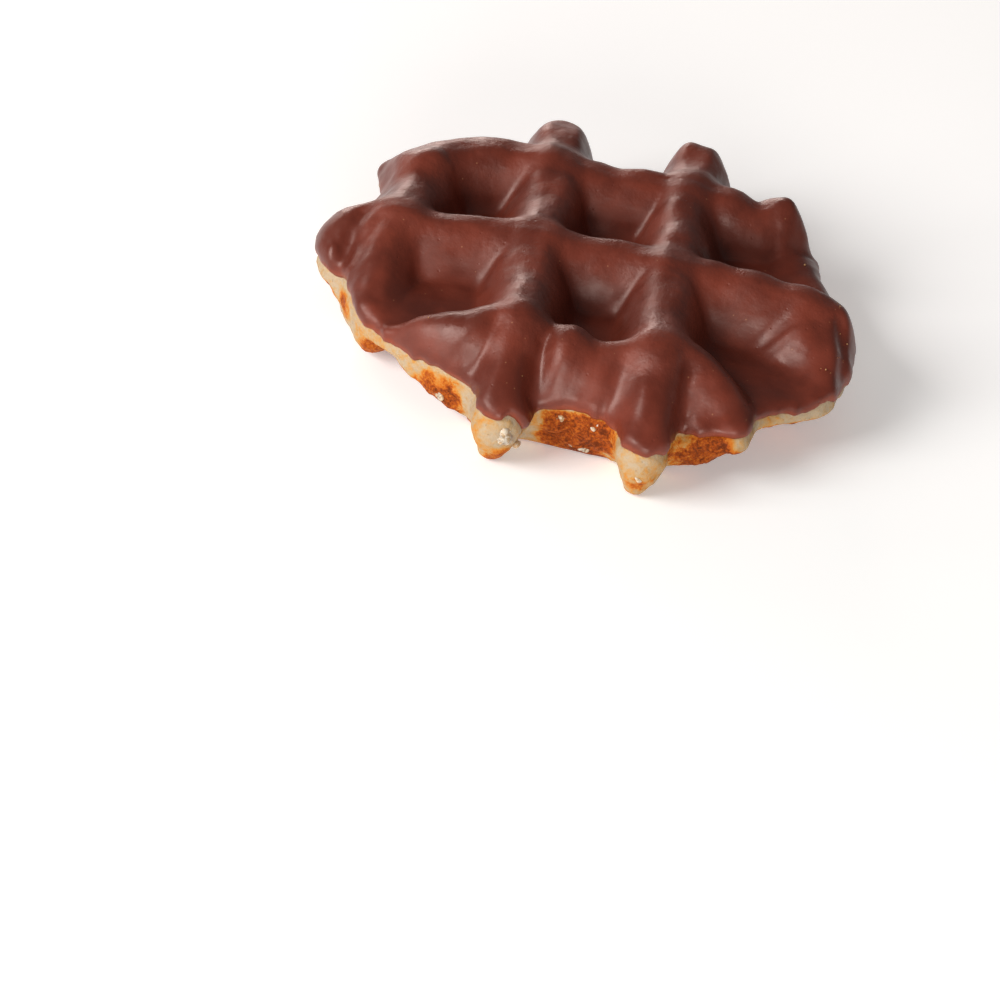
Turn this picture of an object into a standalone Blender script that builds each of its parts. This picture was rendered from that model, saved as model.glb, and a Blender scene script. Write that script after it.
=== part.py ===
"""A thick square-ribbed waffle with a chocolate coat over its top and upper sides."""

import bmesh
import bpy
import numpy as np

# Driving dimensions, in millimetres: the heights of the pockets' floors and of the rim
FLOOR = 12.7
CEILING = 7.4
RIM_SINK = 0.8
RIM_REACH = 9.0
RIM_UNDERSIDE = 7.6
RIM_UNDER_REACH = 6.0

# Ribs: rounding of their shoulders and feet, and slope of their walls
SHOULDER = 2.8
FILLET = 2.4
WALL = 1.9
END_WALL = 2.6
END_REACH = 2.5
FOOT_SINK = 0.7

# Sides: rounding above and below, lean outward from the top and inward again at the feet
EDGE_ROUND = 3.0
UNDER_ROUND = 1.5
LUG_BLEND = 4.0
SIDE_LEAN = 0.22
LEAN_FROM = 11.0
LEAN_BLEND = 2.0
UNDERCUT = 0.55
UNDERCUT_FROM = 5.5
UNDERCUT_BLEND = 3.0

# Chocolate: thickness at each place, least and most, clearance, and the level of its edge further in
COAT_ON_CREST = 0.9
COAT_ON_WALL = 0.8
COAT_ON_FLOOR = 1.5
COAT_ON_SIDE = 1.1
COAT_RANGE = (0.75, 3.4)
CLEARANCE = 0.3
EDGE_INSIDE = 8.7
EDGE_RAMP = 5.0

# Unevenness: height, size of the lumps and seed
FLOOR_RIPPLE = (0.35, 9.0, 4)
CREST_RIPPLE = (0.35, 5.0, 8)
CEILING_RIPPLE = (0.3, 8.0, 21)
FOOT_RIPPLE = (0.25, 6.0, 13)
RIPPLE_WAVES = 7

# Extent and step of the grid, and how far the solids are thinned and welded
PLAN_LOW = (-54.0, -48.0)
PLAN_HIGH = (52.0, 52.0)
TALLEST = 25.0
LOWEST = -2.4
NET_STEP = 0.8
SEARCH_STEP = 0.1
PROBE = 0.2
SETTLE_REACH = 0.4
SETTLE_ROUNDS = 3
COAT_ROUNDS = 6
LUMP_BLEND = 0.6
WAFFLE_FACES = 5200
WELD = 0.04
WELD_ROUNDS = 4
FOOT_SNAP = 0.25
EDGE_SNAP = 0.35

# Middle of the plan, colours and the millimetre
ORIGIN = (-1.468, 1.790)
DOUGH_COLOUR = (0.76, 0.5, 0.24)
DOUGH_ROUGHNESS = 0.62
CHOCOLATE_COLOUR = (0.13, 0.042, 0.028)
CHOCOLATE_ROUGHNESS = 0.34
MM = 0.001

# The body's outline at mid height, without the lugs that the ribs end in
OUTLINE = (
    (-49.2, 8.0), (-50.3, 1.5), (-49.8, -4.4), (-47.2, -8.8), (-44.4, -11.4), (-42.4, -15.0),
    (-40.6, -19.4), (-36.4, -23.8), (-28.0, -29.6), (-20.0, -33.2), (-10.0, -35.0), (1.0, -35.6),
    (12.0, -35.6), (22.0, -34.8),
    (29.2, -31.4), (34.0, -25.6), (40.5, -21.4), (45.0, -16.6), (46.8, -10.5), (47.6, -2.5),
    (46.2, 4.5), (43.6, 10.5), (40.2, 16.4), (39.8, 23.0), (36.6, 29.4), (29.0, 34.6),
    (12.0, 35.8), (-4.0, 35.2), (-20.0, 35.6), (-31.0, 33.0), (-38.4, 28.8), (-42.2, 22.5),
    (-42.4, 16.0), (-45.0, 11.4),
)

# Lugs: where the ribs run past the outline, from, to and radius
LUGS = (
    ((-11.9, 28.0), (-11.8, 39.4), 7.2),
    ((12.6, 28.0), (13.3, 41.4), 6.3),
    ((17.0, 30.0), (17.8, 38.0), 2.6),
    ((-12.2, -28.0), (-11.7, -38.0), 5.6),
    ((12.4, -28.0), (13.2, -38.8), 5.6),
    ((-36.0, 21.0), (-41.2, 25.4), 2.6),
    ((27.0, -28.0), (28.6, -30.6), 3.4),
)

# Upper ribs: stations of x, y, crest height and half width, then the wall slope left and right of the way
RIBS = {
    "V0": (((-33.6, 18.0, 20.8, 3.4), (-34.4, 9.0, 20.4, 3.4), (-35.8, 0.5, 21.0, 3.6),
            (-37.2, -6.0, 19.2, 3.4), (-38.0, -12.0, 16.6, 3.4), (-37.4, -18.0, 13.2, 3.6)), 1.9, 1.5),
    "V1": (((-12.0, 43.6, 18.8, 4.4), (-12.0, 38.0, 20.4, 5.0), (-11.5, 32.0, 20.8, 4.2),
            (-11.4, 26.0, 21.8, 3.8), (-11.7, 13.9, 21.4, 3.5), (-11.9, 0.0, 21.8, 3.7),
            (-11.3, -12.1, 21.4, 3.5), (-11.5, -24.1, 22.2, 3.6), (-11.8, -30.0, 19.8, 3.4),
            (-11.8, -36.0, 16.0, 3.4), (-11.6, -42.0, 12.2, 3.6)), 1.9, 1.9),
    "V2": (((13.4, 44.5, 18.8, 4.4), (13.2, 39.5, 20.6, 4.7), (12.6, 33.0, 20.8, 4.2),
            (12.4, 25.8, 21.8, 3.8), (12.4, 13.1, 21.4, 3.3), (12.5, 0.0, 21.8, 3.7),
            (12.3, -12.8, 21.4, 3.5), (12.3, -25.2, 22.0, 3.6), (12.6, -31.0, 19.2, 3.2),
            (13.2, -37.0, 15.6, 3.4), (13.8, -43.4, 11.8, 3.8)), 1.9, 2.2),
    "H0": (((-35.2, 17.0, 21.0, 3.4), (-32.6, 21.0, 21.2, 3.6),
            (-27.5, 24.2, 21.2, 3.6), (-20.6, 26.2, 21.6, 3.7), (-11.4, 26.0, 21.8, 3.8),
            (0.0, 25.2, 21.0, 3.6), (12.4, 26.3, 21.8, 3.8), (20.5, 26.2, 21.2, 3.5),
            (25.6, 26.2, 19.8, 3.2), (28.4, 27.2, 20.8, 3.0), (30.4, 27.6, 21.3, 2.6)), 1.35, 1.9),
    "corner": (((-34.4, 19.0, 20.8, 3.4), (-38.0, 21.6, 18.6, 3.2), (-42.0, 24.4, 14.0, 2.8)), 1.9, 1.9),
    "lobe": (((16.6, 30.0, 15.6, 2.0), (17.6, 39.0, 15.8, 1.8)), 1.9, 1.9),
    "H1": (((-47.0, -5.0, 15.6, 4.0), (-44.2, -1.6, 18.4, 4.0), (-39.8, 0.6, 20.2, 3.6),
            (-35.8, 1.0, 21.0, 3.4), (-30.0, 0.6, 20.6, 3.4), (-23.3, 1.2, 21.0, 3.4),
            (-12.0, 1.4, 21.8, 3.7), (0.5, 1.8, 21.2, 3.4), (12.6, 1.5, 21.8, 3.7),
            (22.0, 1.2, 21.4, 3.4), (30.0, 0.6, 21.0, 3.4), (36.9, 0.2, 20.6, 3.5),
            (41.1, -1.3, 19.0, 3.6)), 1.9, 1.7),
    "H2": (((-33.5, -25.4, 13.2, 2.4), (-29.4, -26.2, 16.4, 2.4), (-25.0, -26.4, 18.6, 2.6),
            (-20.0, -26.2, 20.4, 2.8), (-15.6, -25.2, 21.6, 3.2), (-11.6, -24.4, 22.0, 3.5),
            (-6.6, -25.0, 20.0, 3.2), (-2.2, -26.0, 20.9, 3.4),
            (2.6, -26.4, 19.2, 3.2), (8.5, -25.8, 20.4, 3.2), (12.3, -24.8, 22.0, 3.5),
            (18.9, -24.4, 21.0, 2.8), (23.0, -25.4, 18.8, 2.4), (26.5, -27.2, 15.6, 2.4),
            (29.0, -29.6, 12.2, 2.6)), 1.7, 1.35),
    "V3": (((33.4, 21.0, 14.4, 2.6), (37.0, 15.0, 14.2, 3.0), (39.4, 8.0, 15.2, 3.2),
            (38.8, 1.0, 19.2, 4.6), (39.0, -4.0, 19.0, 4.8), (41.0, -9.0, 17.0, 3.8),
            (42.0, -13.6, 14.6, 3.2), (42.2, -18.0, 12.6, 3.0)), 1.7, 1.25),
}

# Ribs of the underside, set forward of the upper ones: stations of x, y, foot height and half width
FEET = (
    ((-37.4, 16.0, 0.4, 4.0), (-37.4, -8.0, 0.0, 4.0), (-36.6, -14.6, 1.4, 3.4)),
    ((-12.6, 40.0, 0.0, 4.2), (-12.4, -35.4, 0.0, 4.0)),
    ((12.4, 41.0, 0.0, 4.2), (12.8, -38.0, 0.0, 4.0)),
    ((36.2, 17.0, 0.4, 4.0), (36.6, -9.0, 1.2, 4.0)),
    ((-33.0, 21.4, 0.4, 4.0), (-20.0, 22.4, 0.0, 4.0), (30.0, 22.2, 0.2, 4.0)),
    ((-42.0, -3.6, 5.0, 3.6), (-36.0, -3.6, 0.0, 4.0), (37.0, -3.8, 0.4, 4.0), (42.0, -3.8, 5.0, 3.6)),
    ((-27.0, -28.0, 5.6, 3.2), (-21.5, -29.2, 3.4, 3.6), (-15.6, -29.4, 0.6, 4.0), (-8.0, -30.0, 0.0, 4.0),
     (12.0, -29.8, 0.0, 4.0), (21.0, -29.4, 1.6, 4.0), (24.4, -29.4, 2.8, 3.6), (27.0, -29.2, 6.6, 3.2)),
)

# Height of the coat's lower edge around the sides: x, y and level
EDGE = (
    (-50.0, 2.0, 10.2), (-49.4, -5.0, 10.7), (-45.4, -10.6, 11.2), (-42.0, -16.0, 11.2),
    (-40.6, -19.6, 10.6), (-36.4, -23.6, 10.3), (-29.0, -29.0, 10.8), (-22.0, -32.4, 10.7),
    (-18.0, -35.0, 10.4), (-16.4, -40.0, 11.8), (-11.8, -43.6, 12.0), (-8.8, -41.6, 12.8),
    (-6.9, -39.4, 7.0), (-6.0, -36.8, 7.4), (-4.0, -35.5, 10.2), (2.0, -35.6, 10.9),
    (6.4, -36.4, 9.6), (8.4, -40.4, 11.4), (12.6, -44.2, 11.8), (17.2, -42.0, 10.6),
    (19.0, -36.4, 8.8), (22.5, -34.6, 10.2), (29.4, -32.0, 11.6), (33.6, -25.4, 10.8),
    (43.8, -18.4, 10.9), (46.4, -11.0, 9.9), (47.6, -3.0, 10.6), (43.8, 10.0, 10.4),
    (39.8, 23.0, 9.8), (29.0, 34.6, 10.4), (13.2, 47.6, 10.6), (-11.8, 46.4, 10.4),
    (-30.0, 33.4, 10.6), (-43.4, 25.0, 9.6), (-43.0, 15.0, 10.6), (-50.0, 2.0, 10.2),
)

# Lumps of sugar baked into the front face: x, height and radius
SUGAR = (
    (-10.4, 7.0, 1.9), (-8.2, 4.4, 1.1), (-1.6, 8.4, 0.9), (1.4, 2.2, 1.2), (3.6, 2.0, 1.3),
    (4.6, 8.0, 0.9), (13.6, 5.2, 1.2), (-22.0, 5.6, 1.1),
)

# Grooves and furrows pressed into the coat: from, to, width and depth
GROOVES = (
    ((-42.4, 0.0), (-45.2, -10.0), 1.5, 1.2),
    ((-39.6, -2.5), (-42.6, -13.0), 1.3, 0.7),
    ((-15.4, -28.0), (-19.2, -35.0), 1.5, 0.9),
    ((-6.8, -28.0), (-6.2, -35.5), 1.9, 1.4),
    ((7.0, -29.5), (5.2, -36.0), 1.6, 0.9),
    ((18.2, -27.0), (19.4, -37.0), 1.7, 1.8),
    ((43.0, -4.0), (46.0, -14.0), 1.5, 1.4),
)


def smooth_max(a, b, reach):
    """The larger of a and b, with a round of the given reach where they meet."""
    near = np.maximum(reach - np.abs(a - b), 0) / reach
    return np.maximum(a, b) + near * near * reach / 4


def smooth_min(a, b, reach):
    return -smooth_max(-a, -b, reach)


def spline(points, steps, closed=False):
    """A Catmull-Rom curve through the points, as rows."""
    rows = np.array(points, float)
    if closed:
        rows = np.vstack((rows[-1], rows, rows[0], rows[1]))
    else:
        rows = np.vstack((2 * rows[0] - rows[1], rows, 2 * rows[-1] - rows[-2]))
    t = np.linspace(0, 1, steps, endpoint=False)[:, None]
    runs = []
    for p0, p1, p2, p3 in zip(rows, rows[1:], rows[2:], rows[3:]):
        runs.append(0.5 * (2 * p1 + (p2 - p0) * t + (2 * p0 - 5 * p1 + 4 * p2 - p3) * t ** 2
                           + (3 * p1 - p0 - 3 * p2 + p3) * t ** 3))
    if not closed:
        runs.append(rows[-2][None])
    return np.vstack(runs)


def along(x, y, path):
    """Distance from the path, its signed side, the run past its ends, and its values at the nearest point."""
    best = np.full(x.shape, np.inf)
    side = np.zeros(x.shape)
    past = np.zeros(x.shape)
    values = np.zeros((path.shape[1] - 2,) + x.shape)
    final = len(path) - 2
    for number, (start, end) in enumerate(zip(path, path[1:])):
        run = end - start
        rx = x - start[0]
        ry = y - start[1]
        free = (rx * run[0] + ry * run[1]) / (run[0] ** 2 + run[1] ** 2)
        t = np.clip(free, 0, 1)
        gap = np.hypot(rx - t * run[0], ry - t * run[1])
        nearer = gap < best
        best = np.where(nearer, gap, best)
        side = np.where(nearer, np.sign(run[0] * ry - run[1] * rx), side)
        beyond = np.maximum(-free * (number == 0), (free - 1) * (number == final))
        past = np.where(nearer, np.maximum(beyond, 0) * np.hypot(*run[:2]), past)
        for row, value in enumerate(values):
            values[row] = np.where(nearer, start[2 + row] + t * run[2 + row], value)
    return best, side, past, values


def outline_distance(x, y):
    """How far a point lies outside the outline with its lugs, below nought inside."""
    loop = spline(OUTLINE, 5, closed=True)
    loop = np.vstack((loop, loop[:1]))
    gap, *_ = along(x, y, loop)
    inside = np.zeros(x.shape, bool)
    for (ax, ay), (bx, by) in zip(loop, loop[1:]):
        if ay != by:
            crosses = ((ay > y) != (by > y)) & (x < (bx - ax) * (y - ay) / (by - ay) + ax)
            inside ^= crosses
    out = np.where(inside, -gap, gap)
    for start, end, radius in LUGS:
        lug, *_ = along(x, y, np.array((start, end)))
        out = smooth_min(out, lug - radius, LUG_BLEND)
    return out


def edge_level(x, y, out):
    """Height of the coat's lower edge at the sides, falling to a level inside the web further in."""
    gap, side, past, (level,) = along(x, y, np.array(EDGE))
    return level + (EDGE_INSIDE - level) * np.clip(-out / EDGE_RAMP, 0, 1)


def rib_field(x, y):
    """For each rib: distance, wall slope on that side, crest height and half width."""
    field = []
    for stations, left, right in RIBS.values():
        gap, side, past, (crest, half) = along(x, y, spline(stations, 4))
        wall = np.where(side > 0, left, right)
        wall = wall + (END_WALL - wall) * np.clip(past / END_REACH, 0, 1)
        field.append((gap, wall, crest, half))
    return field


def ripple(x, y, height, size, seed):
    """A smooth uneven surface with lumps of about the given height and size."""
    rng = np.random.default_rng(seed)
    total = np.zeros(x.shape)
    for _ in range(RIPPLE_WAVES):
        angle, phase = rng.uniform(0, 2 * np.pi, 2)
        pitch = size * rng.uniform(1.4, 3.0)
        total += np.sin(2 * np.pi * (x * np.cos(angle) + y * np.sin(angle)) / pitch + phase)
    return height * total * 2 / RIPPLE_WAVES


def top_height(x, y, bare, out, ribs):
    """Height of the upper surface: of the coat where bare is 0, of the dough where it is 1."""
    top = FLOOR + ripple(x, y, *FLOOR_RIPPLE) - COAT_ON_FLOOR * bare
    top = top - RIM_SINK * np.clip(1 + out / RIM_REACH, 0, 1) ** 2
    for gap, wall, crest, half in ribs:
        crest = crest + ripple(x, y, *CREST_RIPPLE) - COAT_ON_CREST * bare
        flank = wall * smooth_max(gap - half + COAT_ON_WALL * bare, 0, SHOULDER)
        top = smooth_max(top, crest - flank, FILLET)
    for start, end, width, depth in GROOVES:
        gap, *_ = along(x, y, np.array((start, end)))
        top = top - depth * np.exp(-(gap / width) ** 2)
    return top


def bottom_height(x, y, out):
    """Height of the underside, with its own ribs and pockets."""
    rim = np.clip(1 + out / RIM_UNDER_REACH, 0, 1)
    low = CEILING + (RIM_UNDERSIDE - CEILING) * rim + ripple(x, y, *CEILING_RIPPLE)
    for stations in FEET:
        gap, side, past, (foot, half) = along(x, y, np.array(stations))
        foot = foot - FOOT_SINK + ripple(x, y, *FOOT_RIPPLE)
        low = smooth_min(low, foot + WALL * smooth_max(gap - half, 0, SHOULDER), FILLET)
    return low


class Plan:
    """The heights and the outline on a plan grid, read anywhere between its points."""

    def __init__(self, step):
        self.step = step
        self.low = np.array(PLAN_LOW)
        x, y = (np.arange(low, high, step) for low, high in zip(PLAN_LOW, PLAN_HIGH))
        x, y = np.meshgrid(x, y, indexing="ij")
        self.x, self.y = x, y
        self.out = outline_distance(x, y)
        ribs = rib_field(x, y)
        self.coat = top_height(x, y, 0, self.out, ribs)
        self.dough = top_height(x, y, 1, self.out, ribs)
        self.under = bottom_height(x, y, self.out)

    def steepness(self, grid):
        """Length of the surface's slanted side for each unit of plan."""
        along_x, along_y = np.gradient(grid, self.step)
        return np.sqrt(1 + along_x ** 2 + along_y ** 2)

    def read(self, grid, x, y):
        """The grid's values at the given places."""
        u = (x - self.low[0]) / self.step
        v = (y - self.low[1]) / self.step
        i = np.clip(u.astype(int), 0, grid.shape[0] - 2)
        j = np.clip(v.astype(int), 0, grid.shape[1] - 2)
        u = u - i
        v = v - j
        near = grid[i, j] * (1 - u) + grid[i + 1, j] * u
        far = grid[i, j + 1] * (1 - u) + grid[i + 1, j + 1] * u
        return near * (1 - v) + far * v


class Body:
    """A solid between an upper surface, the sides and, where under is set, the underside."""

    def __init__(self, plan, top, under, inset):
        self.plan = plan
        self.under = under
        self.inset = inset
        self.lumps = []
        steep = plan.steepness(top)
        self.grids = [plan.x, plan.y, plan.out, top, steep, plan.under, plan.steepness(plan.under)]

    def blend(self, x, y, out, top, top_steep, low, low_steep, z):
        """Height above the surface, about a distance, below nought inside."""
        lean = SIDE_LEAN * smooth_max(z - LEAN_FROM, 0, LEAN_BLEND)
        lean = lean + UNDERCUT * smooth_max(UNDERCUT_FROM - z, 0, UNDERCUT_BLEND)
        body = smooth_max((z - top) / top_steep, out + self.inset + lean, EDGE_ROUND)
        if self.under:
            body = smooth_max(body, (low - z) / low_steep, UNDER_ROUND)
            body = np.maximum(body, -z)
        for cx, cy, cz, radius in self.lumps:
            lump = np.sqrt((x - cx) ** 2 + (y - cy) ** 2 + (z - cz) ** 2) - radius
            body = smooth_min(body, lump, LUMP_BLEND)
        return body

    def add_sugar(self):
        """Seat each lump of sugar on the front face, where a line from the front meets it."""
        lumps = []
        y = np.arange(PLAN_LOW[1], 0, SEARCH_STEP)
        for x, z, radius in SUGAR:
            depth = self.at(np.stack((x + 0 * y, y, z + 0 * y), 1))
            lumps.append((x, y[np.argmax(depth < 0)], z, radius))
        self.lumps = lumps

    def on_grid(self, levels):
        return self.blend(*(grid[:, :, None] for grid in self.grids), levels[None, None, :])

    def at(self, points):
        x, y, z = points.T
        return self.blend(*(self.plan.read(grid, x, y) for grid in self.grids), z)

    def normals(self, points):
        """Unit directions out of the body."""
        nudges = PROBE * np.eye(3)
        rise = np.stack([self.at(points + nudge) - self.at(points - nudge) for nudge in nudges], 1)
        return rise / np.maximum(np.linalg.norm(rise, axis=1), 1e-9)[:, None]


def surface_net(values, origin, step):
    """Points and quads of the skin where a grid of values changes sign, one point a cell."""
    inside = values < 0
    cells = np.array(values.shape) - 1
    total = np.zeros((*cells, 3))
    count = np.zeros(cells)
    for corner in np.ndindex(2, 2, 2):
        near = tuple(slice(c, c + n) for c, n in zip(corner, cells))
        for axis in range(3):
            if corner[axis]:
                continue
            next_corner = [c + (m == axis) for m, c in enumerate(corner)]
            far = tuple(slice(c, c + n) for c, n in zip(next_corner, cells))
            crossed = inside[near] != inside[far]
            part = np.where(crossed, values[near] / np.where(crossed, values[near] - values[far], 1), 0)
            for m in range(3):
                total[..., m] += crossed * corner[m] + (part if m == axis else 0)
            count += crossed
    used = count > 0
    index = np.full(tuple(cells), -1)
    index[used] = np.arange(used.sum())
    points = (np.argwhere(used) + total[used] / count[used][:, None]) * step + origin
    rings = []
    for axis in range(3):
        low = tuple(slice(0 if m == axis else 1, n) for m, n in enumerate(cells))
        high = tuple(slice(1, n + 1) if m == axis else slice(1, n) for m, n in enumerate(cells))
        crossed = inside[low] != inside[high]
        cell = np.argwhere(crossed) + [0 if m == axis else 1 for m in range(3)]
        one, two = np.roll(np.eye(3, dtype=int), -axis - 1, axis=0)[:2]
        corners = np.stack([cell - one - two, cell - two, cell, cell - one], 1)
        ring = index[corners[..., 0], corners[..., 1], corners[..., 2]]
        leaving = inside[low][crossed]
        rings.append(np.where(leaving[:, None], ring, ring[:, ::-1]))
    return points, np.vstack(rings)


def settle(body, points):
    """Move points near the skin onto it."""
    for _ in range(SETTLE_ROUNDS):
        step = np.clip(body.at(points), -SETTLE_REACH, SETTLE_REACH)
        points = points - body.normals(points) * step[:, None]
    points[:, 2] = np.maximum(points[:, 2], 0)
    return points


def mesh_from(name, points, faces):
    """A mesh in metres, with the middle of the plan at the origin."""
    mesh = bpy.data.meshes.new(name)
    placed = (points - (*ORIGIN, 0)) * MM
    mesh.from_pydata(placed.tolist(), [], faces.tolist())
    return mesh


def material(name, colour, roughness):
    """A plain surface in the part's colour."""
    made = bpy.data.materials.new(name)
    made.use_nodes = True
    shader = made.node_tree.nodes["Principled BSDF"]
    shader.inputs["Base Color"].default_value = (*colour, 1.0)
    shader.inputs["Roughness"].default_value = roughness
    shader.inputs["Metallic"].default_value = 0.0
    return made


def add_object(mesh, surface):
    mesh.materials.append(surface)
    mesh.shade_smooth()
    placed = bpy.data.objects.new(mesh.name, mesh)
    bpy.context.scene.collection.objects.link(placed)
    return placed


def make_waffle(plan):
    """The baked dough, thinned to the count of faces that its shape needs."""
    body = Body(plan, plan.dough, True, COAT_ON_SIDE)
    body.add_sugar()
    levels = np.arange(LOWEST, TALLEST, NET_STEP)
    points, quads = surface_net(body.on_grid(levels), np.array((*PLAN_LOW, LOWEST)), NET_STEP)
    points = settle(body, points)
    surface = material("dough", DOUGH_COLOUR, DOUGH_ROUGHNESS)
    waffle = add_object(mesh_from("waffle", points, quads), surface)
    thin = waffle.modifiers.new("thin", "DECIMATE")
    thin.ratio = WAFFLE_FACES / (2 * len(quads))
    thin.use_collapse_triangulate = True
    evaluated = waffle.evaluated_get(bpy.context.evaluated_depsgraph_get())
    thinned = bpy.data.meshes.new_from_object(evaluated)
    waffle.modifiers.clear()
    fine = waffle.data
    waffle.data = thinned
    bpy.data.meshes.remove(fine)
    thinned.name = "waffle"
    weld_folds(thinned)
    return waffle


def weld_folds(mesh):
    """Close the needle-thin folds that thinning leaves, and flatten the feet."""
    work = bmesh.new()
    work.from_mesh(mesh)
    bmesh.ops.remove_doubles(work, verts=work.verts[:], dist=WELD * MM)
    for _ in range(WELD_ROUNDS):
        crowded = [edge for edge in work.edges if len(edge.link_faces) > 2]
        bmesh.ops.collapse(work, edges=crowded)
        seen = {}
        for face in work.faces:
            seen.setdefault(frozenset(face.verts), []).append(face)
        doubled = [face for faces in seen.values() if len(faces) > 1 for face in faces]
        bmesh.ops.delete(work, geom=doubled, context="FACES")
        loose = [vertex for vertex in work.verts if not vertex.link_faces]
        bmesh.ops.delete(work, geom=loose, context="VERTS")
    for vertex in work.verts:
        if vertex.co.z < FOOT_SNAP * MM:
            vertex.co.z = 0.0
    work.to_mesh(mesh)
    work.free()


def clip_above(points, faces):
    """The triangles above the coat's edge, cut where they cross it, and their points."""
    x, y, z = points.T
    level = z - edge_level(x, y, outline_distance(x, y))
    level[np.abs(level) < EDGE_SNAP] = 0.0
    points = points.tolist()
    cuts = {}

    def cut(a, b):
        key = (min(a, b), max(a, b))
        if key not in cuts:
            t = level[key[0]] / (level[key[0]] - level[key[1]])
            one, two = (np.array(points[i]) for i in key)
            points.append((one + t * (two - one)).tolist())
            cuts[key] = len(points) - 1
        return cuts[key]

    kept = []
    for face in faces.tolist():
        ring = []
        for a, b in zip(face, face[1:] + face[:1]):
            if level[a] >= 0:
                ring.append(a)
            if level[a] * level[b] < 0:
                ring.append(cut(a, b))
        if len(ring) > 2 and max(level[i] for i in face) > 0:
            kept.extend((ring[0], b, c) for b, c in zip(ring[1:], ring[2:]))
    kept = np.array(kept)
    used, kept = np.unique(kept, return_inverse=True)
    return np.array(points)[used], kept.reshape(-1, 3)


def make_coat(plan, waffle):
    """The chocolate: the dough's upper skin, lifted clear of it and given its thickness."""
    mesh = waffle.data
    mesh.calc_loop_triangles()
    points = np.array([vertex.co for vertex in mesh.vertices]) / MM + (*ORIGIN, 0)
    faces = np.array([triangle.vertices for triangle in mesh.loop_triangles])
    points, faces = clip_above(points, faces)
    dough = Body(plan, plan.dough, True, COAT_ON_SIDE)
    coat = Body(plan, plan.coat, False, 0.0)
    normals = dough.normals(points)
    depth = np.full(len(points), COAT_ON_CREST)
    for _ in range(COAT_ROUNDS):
        depth = np.clip(depth - coat.at(points + normals * depth[:, None]), *COAT_RANGE)
    inner = points + normals * CLEARANCE
    outer = points + normals * depth[:, None]
    count = len(points)
    edges = {(a, b) for face in faces for a, b in zip(face, np.roll(face, -1))}
    rim = [(a, b) for a, b in edges if (b, a) not in edges]
    walls = [(a, a + count, b + count) for a, b in rim] + [(a, b + count, b) for a, b in rim]
    shell = np.vstack((faces[:, ::-1], faces + count, np.array(walls)[:, ::-1]))
    mesh = mesh_from("chocolate_coating", np.vstack((inner, outer)), shell)
    return add_object(mesh, material("chocolate", CHOCOLATE_COLOUR, CHOCOLATE_ROUGHNESS))


def build():
    for old in list(bpy.data.objects):
        bpy.data.objects.remove(old)
    plan = Plan(NET_STEP)
    waffle = make_waffle(plan)
    make_coat(plan, waffle)


build()
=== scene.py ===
"""A thick square-ribbed waffle: baked dough with pearl sugar under a milk chocolate coat."""
import math

import bmesh
import bpy
import numpy as np
from mathutils import Matrix, Vector


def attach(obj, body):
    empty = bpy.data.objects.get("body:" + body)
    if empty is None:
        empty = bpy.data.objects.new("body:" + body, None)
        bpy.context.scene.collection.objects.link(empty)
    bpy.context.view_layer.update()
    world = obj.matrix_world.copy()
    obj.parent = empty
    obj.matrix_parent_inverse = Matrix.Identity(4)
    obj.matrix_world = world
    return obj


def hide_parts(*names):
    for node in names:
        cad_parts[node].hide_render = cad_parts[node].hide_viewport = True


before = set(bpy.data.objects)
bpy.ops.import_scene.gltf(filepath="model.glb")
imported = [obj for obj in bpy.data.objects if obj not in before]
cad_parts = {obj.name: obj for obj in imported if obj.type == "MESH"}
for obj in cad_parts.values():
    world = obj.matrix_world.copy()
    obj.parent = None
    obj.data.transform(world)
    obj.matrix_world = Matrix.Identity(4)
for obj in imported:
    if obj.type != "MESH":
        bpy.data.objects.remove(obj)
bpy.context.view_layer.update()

# Driving dimensions, in millimetres, the same as those of the solids
FLOOR = 12.7
CEILING = 7.4
RIM_SINK = 0.8
RIM_REACH = 9.0
RIM_UNDERSIDE = 7.6
RIM_UNDER_REACH = 6.0
SHOULDER = 2.8
FILLET = 2.4
WALL = 1.9
END_WALL = 2.6
END_REACH = 2.5
FOOT_SINK = 0.7
EDGE_ROUND = 3.0
UNDER_ROUND = 1.5
LUG_BLEND = 4.0
SIDE_LEAN = 0.22
LEAN_FROM = 11.0
LEAN_BLEND = 2.0
UNDERCUT = 0.55
UNDERCUT_FROM = 5.5
UNDERCUT_BLEND = 3.0
COAT_ON_CREST = 0.9
COAT_ON_WALL = 0.8
COAT_ON_FLOOR = 1.5
COAT_ON_SIDE = 1.1
EDGE_INSIDE = 8.7
EDGE_RAMP = 5.0
FLOOR_RIPPLE = (0.35, 9.0, 4)
CREST_RIPPLE = (0.35, 5.0, 8)
CEILING_RIPPLE = (0.3, 8.0, 21)
FOOT_RIPPLE = (0.25, 6.0, 13)
RIPPLE_WAVES = 7
PLAN_LOW = (-54.0, -48.0)
PLAN_HIGH = (52.0, 52.0)
TALLEST = 25.0
ORIGIN = (-1.468, 1.790)
MM = 0.001

# Grids of the fine skins, in millimetres, and how their points settle
DOUGH_STEP = 0.52
COAT_STEP = 0.56
LOWEST = -1.56
COAT_LOWEST = 4.8
SEARCH_STEP = 0.1
PROBE = 0.2
SETTLE_REACH = 0.4
SETTLE_ROUNDS = 3

# The coat's lip, which swells away from the edge, and how deep the coat is sunk into the dough
LIP_ROUND = 0.5
LIP_THICKNESS = 0.3
LIP_GROWTH = 0.5
COAT_SINK = 0.45
SINK_ROUND = 0.3

# Random lumps: cells of their table, and where in it the waffle's middle lies
LUMP_CELLS = 32
LUMP_PLACE = 100.0

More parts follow.
